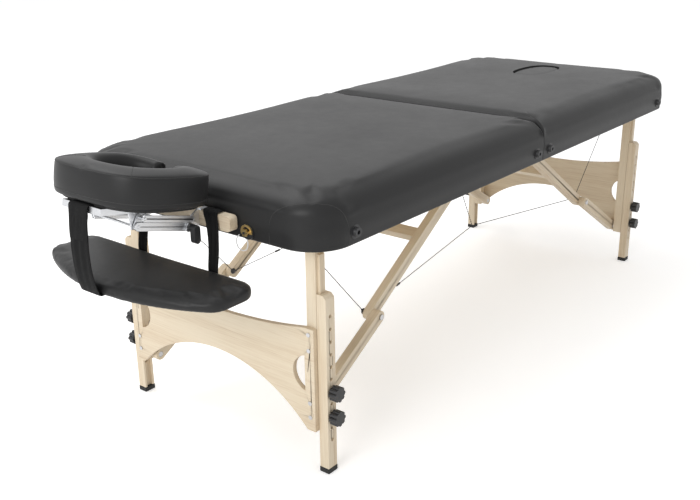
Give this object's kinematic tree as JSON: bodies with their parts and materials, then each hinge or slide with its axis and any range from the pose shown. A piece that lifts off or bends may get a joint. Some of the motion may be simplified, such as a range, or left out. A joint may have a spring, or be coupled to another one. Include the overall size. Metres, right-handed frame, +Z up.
{
  "type": "massage table",
  "caption": "Portable massage table with two folding wooden halves, black padded top, cable-braced legs, face cradle and arm shelf",
  "frame": {"origin": "centre of the bounding box at floor level, under the table a little towards the head rest", "axes": "X runs along the table from the head rest to the foot end, Y runs across it with the head rest lever on the -Y side, and Z runs up from the floor"},
  "size_m": [2.125, 0.786, 0.7437],
  "materials": {
    "vinyl": "satin black upholstery vinyl",
    "birch": "clear lacquered light birch or maple",
    "ply": "lacquered birch plywood",
    "black_plastic": "moulded black",
    "rubber": "black",
    "steel": "zinc plated",
    "cable": "stranded steel cable",
    "alu": "satin anodised",
    "brass": "plain",
    "webbing": "woven black strap"
  },
  "bodies": {
    "head_half": {"head_frame": "birch", "head_deck": "ply", "head_pad": "vinyl", "head_side_sockets": "black_plastic", "head_hinge_leaves": "steel", "head_pivot_brackets": "steel", "latch_bases": "black_plastic", "centre_cables": "cable"},
    "foot_half": {"foot_frame": "birch", "foot_deck": "ply", "foot_pad": "vinyl", "foot_side_sockets": "black_plastic", "foot_hinge_leaves": "steel", "foot_pivot_brackets": "steel"},
    "breath_plug": {"breath_plug": "vinyl"},
    "head_legs": {"head_legs": "birch", "head_end_panel": "ply", "head_leg_fasteners": "steel"},
    "head_upper_braces": {"head_upper_braces": "birch", "head_brace_crossbar": "birch", "head_outer_cables": "cable"},
    "head_lower_braces": {"head_lower_braces": "birch", "head_elbow_bolts": "steel"},
    "head_near_extension": {"head_near_extension": "birch", "head_near_foot": "rubber"},
    "head_near_upper_knob": {"head_near_upper_knob": "black_plastic"},
    "head_near_lower_knob": {"head_near_lower_knob": "black_plastic"},
    "head_far_extension": {"head_far_extension": "birch", "head_far_foot": "rubber"},
    "head_far_upper_knob": {"head_far_upper_knob": "black_plastic"},
    "head_far_lower_knob": {"head_far_lower_knob": "black_plastic"},
    "foot_legs": {"foot_legs": "birch", "foot_end_panel": "ply", "foot_leg_fasteners": "steel"},
    "foot_upper_braces": {"foot_upper_braces": "birch", "foot_brace_crossbar": "birch", "foot_outer_cables": "cable"},
    "foot_lower_braces": {"foot_lower_braces": "birch", "foot_elbow_bolts": "steel"},
    "foot_near_extension": {"foot_near_extension": "birch", "foot_near_foot": "rubber"},
    "foot_near_upper_knob": {"foot_near_upper_knob": "black_plastic"},
    "foot_near_lower_knob": {"foot_near_lower_knob": "black_plastic"},
    "foot_far_extension": {"foot_far_extension": "birch", "foot_far_foot": "rubber"},
    "foot_far_upper_knob": {"foot_far_upper_knob": "black_plastic"},
    "foot_far_lower_knob": {"foot_far_lower_knob": "black_plastic"},
    "latch_hook_near": {"latch_hook_near": "brass"},
    "latch_hook_far": {"latch_hook_far": "brass"},
    "cradle_base": {"cradle_crossbar": "birch", "cradle_brackets": "alu", "rear_straps": "webbing"},
    "cradle_arms": {"cradle_arms": "alu"},
    "cradle_top_links": {"cradle_top_links": "alu"},
    "cradle_knuckles": {"cradle_knuckles": "alu"},
    "cradle_lever": {"cradle_lever": "black_plastic"},
    "cradle_platform": {"cradle_platform": "alu", "face_cushion": "vinyl"},
    "arm_shelf": {"arm_shelf": "vinyl", "front_strap": "webbing"}
  },
  "joints": [
    {"name": "centre_fold", "type": "hinge", "parent": "head_half", "child": "foot_half", "pos_m": [0.1355, 0, 0.5507], "axis": [0, 1, 0], "range_deg": [0, 90], "deforming": ["centre_cables"]},
    {"name": "head_leg_fold", "type": "hinge", "parent": "head_half", "child": "head_legs", "pos_m": [-0.6995, 0, 0.585], "axis": [0, -1, 0], "range_deg": [0, 90], "deforming": ["head_outer_cables"]},
    {"name": "head_upper_brace_fold", "type": "hinge", "parent": "head_half", "child": "head_upper_braces", "pos_m": [0.04907, 0, 0.587], "axis": [0, 1, 0], "range_deg": [0, 32.77]},
    {"name": "head_lower_brace_fold", "type": "hinge", "parent": "head_legs", "child": "head_lower_braces", "pos_m": [-0.6975, 0, 0.12], "axis": [0, -1, 0], "range_deg": [0, 59.41]},
    {"name": "head_near_height", "type": "slide", "parent": "head_legs", "child": "head_near_extension", "axis": [0, 0, -1], "range_m": [-0.06, 0.18]},
    {"name": "head_near_lower_knob_turn", "type": "hinge", "parent": "head_legs", "child": "head_near_lower_knob", "pos_m": [-0.6995, -0.335, 0.143], "axis": [0, -1, 0], "continuous": true},
    {"name": "head_near_upper_knob_turn", "type": "hinge", "parent": "head_legs", "child": "head_near_upper_knob", "pos_m": [-0.6995, -0.335, 0.203], "axis": [0, -1, 0], "continuous": true},
    {"name": "head_far_height", "type": "slide", "parent": "head_legs", "child": "head_far_extension", "axis": [0, 0, -1], "range_m": [-0.06, 0.18]},
    {"name": "head_far_lower_knob_turn", "type": "hinge", "parent": "head_legs", "child": "head_far_lower_knob", "pos_m": [-0.6995, 0.335, 0.143], "axis": [0, 1, 0], "continuous": true},
    {"name": "head_far_upper_knob_turn", "type": "hinge", "parent": "head_legs", "child": "head_far_upper_knob", "pos_m": [-0.6995, 0.335, 0.203], "axis": [0, 1, 0], "continuous": true},
    {"name": "foot_leg_fold", "type": "hinge", "parent": "foot_half", "child": "foot_legs", "pos_m": [0.9705, 0, 0.585], "axis": [0, 1, 0], "range_deg": [0, 90], "deforming": ["foot_outer_cables"]},
    {"name": "foot_upper_brace_fold", "type": "hinge", "parent": "foot_half", "child": "foot_upper_braces", "pos_m": [0.22193, 0, 0.587], "axis": [0, -1, 0], "range_deg": [0, 32.77]},
    {"name": "foot_lower_brace_fold", "type": "hinge", "parent": "foot_legs", "child": "foot_lower_braces", "pos_m": [0.9685, 0, 0.12], "axis": [0, 1, 0], "range_deg": [0, 59.41]},
    {"name": "foot_near_height", "type": "slide", "parent": "foot_legs", "child": "foot_near_extension", "axis": [0, 0, -1], "range_m": [-0.06, 0.18]},
    {"name": "foot_near_lower_knob_turn", "type": "hinge", "parent": "foot_legs", "child": "foot_near_lower_knob", "pos_m": [0.9705, -0.335, 0.143], "axis": [0, -1, 0], "continuous": true},
    {"name": "foot_near_upper_knob_turn", "type": "hinge", "parent": "foot_legs", "child": "foot_near_upper_knob", "pos_m": [0.9705, -0.335, 0.203], "axis": [0, -1, 0], "continuous": true},
    {"name": "foot_far_height", "type": "slide", "parent": "foot_legs", "child": "foot_far_extension", "axis": [0, 0, -1], "range_m": [-0.06, 0.18]},
    {"name": "foot_far_lower_knob_turn", "type": "hinge", "parent": "foot_legs", "child": "foot_far_lower_knob", "pos_m": [0.9705, 0.335, 0.143], "axis": [0, 1, 0], "continuous": true},
    {"name": "foot_far_upper_knob_turn", "type": "hinge", "parent": "foot_legs", "child": "foot_far_upper_knob", "pos_m": [0.9705, 0.335, 0.203], "axis": [0, 1, 0], "continuous": true},
    {"name": "breath_plug_lift", "type": "slide", "parent": "foot_half", "child": "breath_plug", "axis": [0, 0, 1], "range_m": [0, 0.09]},
    {"name": "latch_near_turn", "type": "hinge", "parent": "head_half", "child": "latch_hook_near", "pos_m": [-0.799, -0.19, 0.572], "axis": [-1, 0, 0], "range_deg": [-90, 90]},
    {"name": "latch_far_turn", "type": "hinge", "parent": "head_half", "child": "latch_hook_far", "pos_m": [-0.799, 0.19, 0.572], "axis": [-1, 0, 0], "range_deg": [-90, 90]},
    {"name": "cradle_slide", "type": "slide", "parent": "head_half", "child": "cradle_base", "axis": [-1, 0, 0], "range_m": [0, 0.17]},
    {"name": "cradle_lift", "type": "hinge", "parent": "cradle_base", "child": "cradle_arms", "pos_m": [-0.8495, 0, 0.573], "axis": [0, 1, 0], "range_deg": [0, 25]},
    {"name": "cradle_top_link_swing", "type": "hinge", "parent": "cradle_base", "child": "cradle_top_links", "pos_m": [-0.8395, 0, 0.589], "axis": [0, 1, 0], "range_deg": [0, 25]},
    {"name": "cradle_knuckle_swing", "type": "hinge", "parent": "cradle_arms", "child": "cradle_knuckles", "pos_m": [-0.9765, 0, 0.607], "axis": [0, 1, 0], "range_deg": [-25, 0]},
    {"name": "cradle_tilt", "type": "hinge", "parent": "cradle_knuckles", "child": "cradle_platform", "pos_m": [-0.9765, 0, 0.607], "axis": [0, 1, 0], "range_deg": [-30, 2], "deforming": ["front_strap"]},
    {"name": "cradle_lever_turn", "type": "hinge", "parent": "cradle_base", "child": "cradle_lever", "pos_m": [-0.8495, -0.09, 0.573], "axis": [0, 1, 0], "range_deg": [0, 90]},
    {"name": "arm_shelf_swing", "type": "hinge", "parent": "cradle_base", "child": "arm_shelf", "pos_m": [-0.8645, 0, 0.494], "axis": [0, 1, 0], "range_deg": [0, 15]}
  ],
  "couplings": [
    {"joint": "head_upper_brace_fold", "follows": "head_leg_fold", "ratio": 0.36398},
    {"joint": "head_lower_brace_fold", "follows": "head_leg_fold", "ratio": 0.65998},
    {"joint": "foot_upper_brace_fold", "follows": "foot_leg_fold", "ratio": 0.36398},
    {"joint": "foot_lower_brace_fold", "follows": "foot_leg_fold", "ratio": 0.65998},
    {"joint": "cradle_top_link_swing", "follows": "cradle_lift", "ratio": 1},
    {"joint": "cradle_knuckle_swing", "follows": "cradle_lift", "ratio": -1},
    {"joint": "arm_shelf_swing", "follows": "cradle_lift", "ratio": 0.6}
  ]
}
